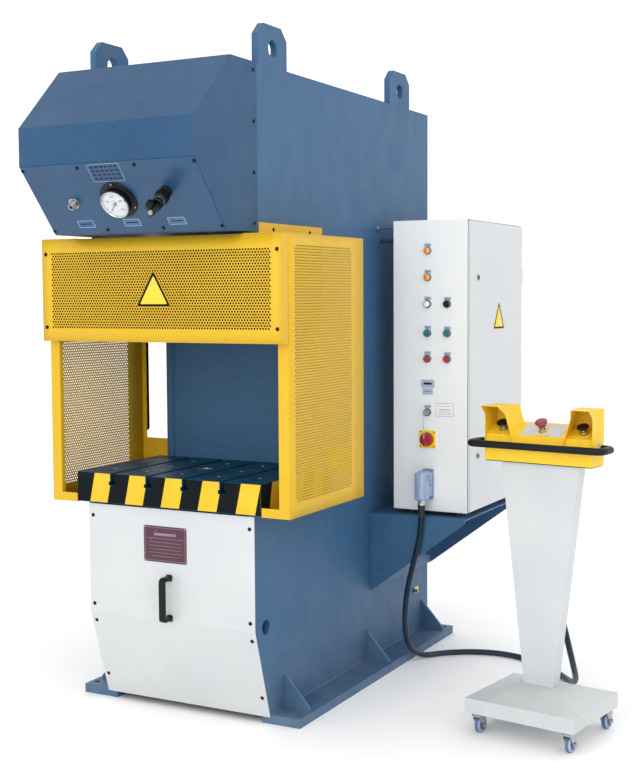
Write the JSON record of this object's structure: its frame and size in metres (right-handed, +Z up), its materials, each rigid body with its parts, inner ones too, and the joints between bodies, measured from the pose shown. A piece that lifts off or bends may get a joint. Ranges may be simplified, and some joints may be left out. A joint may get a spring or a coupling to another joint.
{
  "type": "hydraulic press",
  "caption": "C-frame hydraulic press with perforated guard, T-slot table, side electrical cabinet and a two-hand control console on castors.",
  "frame": {"origin": "on the floor at the centre of the four anchor holes in the base flanges", "axes": "+X to the right of an operator facing the press, +Y to its rear, +Z up"},
  "size_m": [1.9114, 1.8974, 2.347],
  "materials": {
    "frame_blue": "satin",
    "guard_yellow": "satin",
    "cabinet_grey": "satin",
    "panel_white": "satin",
    "gauge_plate_blue": "satin",
    "table_steel": "ground",
    "ground_steel": "satin",
    "chromed_rod": "polished",
    "black_plastic": "matte",
    "grey_plastic": "matte",
    "red_plastic": "gloss",
    "green_plastic": "gloss",
    "white_plastic": "gloss",
    "zinc_screws": "satin",
    "unit_grey": "satin",
    "cord_black": "matte",
    "wheel_grey": "matte",
    "rail_black": "gloss"
  },
  "bodies": {
    "press": {"side_plate_left": "frame_blue", "side_plate_right": "frame_blue", "throat_plate": "frame_blue", "rear_cover": "frame_blue", "top_cover": "frame_blue", "head_plate": "frame_blue", "base_flange_left": "frame_blue", "base_flange_right": "frame_blue", "cylinder_body": "unit_grey", "table_plate": "table_steel", "power_unit": "unit_grey", "head_hood": "frame_blue", "gauge_panel": "gauge_plate_blue", "pressure_gauge": "black_plastic", "test_coupling": "zinc_screws", "regulator_body": "zinc_screws", "access_panel": "panel_white", "bridge_handle": "black_plastic", "panel_screws": "zinc_screws", "guard_left": "guard_yellow", "guard_right": "guard_yellow", "guard_front_panel": "guard_yellow", "guard_top": "guard_yellow", "cabinet_body": "cabinet_grey", "cabinet_bracket": "frame_blue", "cabinet_fixings": "zinc_screws", "operator_bezels": "zinc_screws", "connector_housing": "grey_plastic", "connector_hood": "grey_plastic", "control_cord": "cord_black", "console_base": "cabinet_grey", "console_column": "cabinet_grey", "console_head": "guard_yellow", "console_rail": "rail_black"},
    "ram": {"ram": "chromed_rod", "platen": "ground_steel"},
    "door": {"cabinet_door": "cabinet_grey"},
    "lock_upper": {"door_lock_upper": "zinc_screws"},
    "lock_lower": {"door_lock_lower": "zinc_screws"},
    "button_black": {"button_black": "black_plastic"},
    "button_green_left": {"button_green_left": "green_plastic"},
    "button_green_right": {"button_green_right": "green_plastic"},
    "button_red_left": {"button_red_left": "red_plastic"},
    "button_red_right": {"button_red_right": "red_plastic"},
    "selector": {"selector_knob": "white_plastic"},
    "key": {"key_switch": "zinc_screws"},
    "isolator": {"isolator_knob": "red_plastic"},
    "needle": {"gauge_needle": "black_plastic"},
    "regulator": {"regulator_knob": "black_plastic"},
    "palm_left": {"palm_button_left": "black_plastic"},
    "palm_right": {"palm_button_right": "black_plastic"},
    "emergency": {"emergency_button": "red_plastic"},
    "fork_front_left": {"castor_fork_front_left": "zinc_screws"},
    "wheel_front_left": {"castor_wheel_front_left": "wheel_grey"},
    "fork_front_right": {"castor_fork_front_right": "zinc_screws"},
    "wheel_front_right": {"castor_wheel_front_right": "wheel_grey"},
    "fork_rear_left": {"castor_fork_rear_left": "zinc_screws"},
    "wheel_rear_left": {"castor_wheel_rear_left": "wheel_grey"},
    "fork_rear_right": {"castor_fork_rear_right": "zinc_screws"},
    "wheel_rear_right": {"castor_wheel_rear_right": "wheel_grey"}
  },
  "joints": [
    {"name": "ram_stroke", "type": "slide", "parent": "press", "child": "ram", "axis": [0, 0, -1], "range_m": [0, 0.4]},
    {"name": "door_hinge", "type": "hinge", "parent": "press", "child": "door", "pos_m": [0.731, 0.75, 1], "axis": [0, 0, 1], "range_deg": [0, 120]},
    {"name": "lock_upper_turn", "type": "hinge", "parent": "door", "child": "lock_upper", "pos_m": [0.735, 0.228, 1.521], "axis": [1, 0, 0], "range_deg": [0, 90]},
    {"name": "lock_lower_turn", "type": "hinge", "parent": "door", "child": "lock_lower", "pos_m": [0.735, 0.228, 0.837], "axis": [1, 0, 0], "range_deg": [0, 90]},
    {"name": "black_press", "type": "slide", "parent": "press", "child": "button_black", "axis": [0, 1, 0], "range_m": [0, 0.004], "stiffness_N_per_m": 900},
    {"name": "green_left_press", "type": "slide", "parent": "press", "child": "button_green_left", "axis": [0, 1, 0], "range_m": [0, 0.004], "stiffness_N_per_m": 900},
    {"name": "green_right_press", "type": "slide", "parent": "press", "child": "button_green_right", "axis": [0, 1, 0], "range_m": [0, 0.004], "stiffness_N_per_m": 900},
    {"name": "red_left_press", "type": "slide", "parent": "press", "child": "button_red_left", "axis": [0, 1, 0], "range_m": [0, 0.004], "stiffness_N_per_m": 900},
    {"name": "red_right_press", "type": "slide", "parent": "press", "child": "button_red_right", "axis": [0, 1, 0], "range_m": [0, 0.004], "stiffness_N_per_m": 900},
    {"name": "selector_turn", "type": "hinge", "parent": "press", "child": "selector", "pos_m": [0.563, 0.135, 1.421], "axis": [0, -1, 0], "range_deg": [-45, 45]},
    {"name": "key_turn", "type": "hinge", "parent": "press", "child": "key", "pos_m": [0.563, 0.135, 1.006], "axis": [0, -1, 0], "range_deg": [0, 90]},
    {"name": "isolator_turn", "type": "hinge", "parent": "press", "child": "isolator", "pos_m": [0.563, 0.141, 0.902], "axis": [0, -1, 0], "range_deg": [-90, 0]},
    {"name": "needle_turn", "type": "hinge", "parent": "press", "child": "needle", "pos_m": [-0.008, -1.0304, 1.76653], "axis": [0, -0.7706, -0.6373], "range_deg": [-270, 0]},
    {"name": "regulator_turn", "type": "hinge", "parent": "press", "child": "regulator", "pos_m": [0.185, -1.04506, 1.78426], "axis": [0, -0.7706, -0.6373], "continuous": true},
    {"name": "palm_left_press", "type": "slide", "parent": "press", "child": "palm_left", "axis": [0.0708, 0.4652, -0.8824], "range_m": [0, 0.005], "stiffness_N_per_m": 900},
    {"name": "palm_right_press", "type": "slide", "parent": "press", "child": "palm_right", "axis": [0.0708, 0.4652, -0.8824], "range_m": [0, 0.005], "stiffness_N_per_m": 900},
    {"name": "emergency_press", "type": "slide", "parent": "press", "child": "emergency", "axis": [0.0708, 0.4652, -0.8824], "range_m": [0, 0.005], "stiffness_N_per_m": 1500},
    {"name": "swivel_front_left", "type": "hinge", "parent": "press", "child": "fork_front_left", "pos_m": [0.9998, -0.45789, 0.075], "axis": [0, 0, 1], "continuous": true},
    {"name": "roll_front_left", "type": "hinge", "parent": "fork_front_left", "child": "wheel_front_left", "pos_m": [1.0025, -0.4401, 0.028], "axis": [0.9886, -0.1504, 0], "continuous": true},
    {"name": "swivel_front_right", "type": "hinge", "parent": "press", "child": "fork_front_right", "pos_m": [1.32209, -0.50692, 0.075], "axis": [0, 0, 1], "continuous": true},
    {"name": "roll_front_right", "type": "hinge", "parent": "fork_front_right", "child": "wheel_front_right", "pos_m": [1.3248, -0.48913, 0.028], "axis": [0.9886, -0.1504, 0], "continuous": true},
    {"name": "swivel_rear_left", "type": "hinge", "parent": "press", "child": "fork_rear_left", "pos_m": [1.04191, -0.18108, 0.075], "axis": [0, 0, 1], "continuous": true},
    {"name": "roll_rear_left", "type": "hinge", "parent": "fork_rear_left", "child": "wheel_rear_left", "pos_m": [1.04462, -0.16328, 0.028], "axis": [0.9886, -0.1504, 0], "continuous": true},
    {"name": "swivel_rear_right", "type": "hinge", "parent": "press", "child": "fork_rear_right", "pos_m": [1.3642, -0.23011, 0.075], "axis": [0, 0, 1], "continuous": true},
    {"name": "roll_rear_right", "type": "hinge", "parent": "fork_rear_right", "child": "wheel_rear_right", "pos_m": [1.36691, -0.21231, 0.028], "axis": [0.9886, -0.1504, 0], "continuous": true}
  ]
}
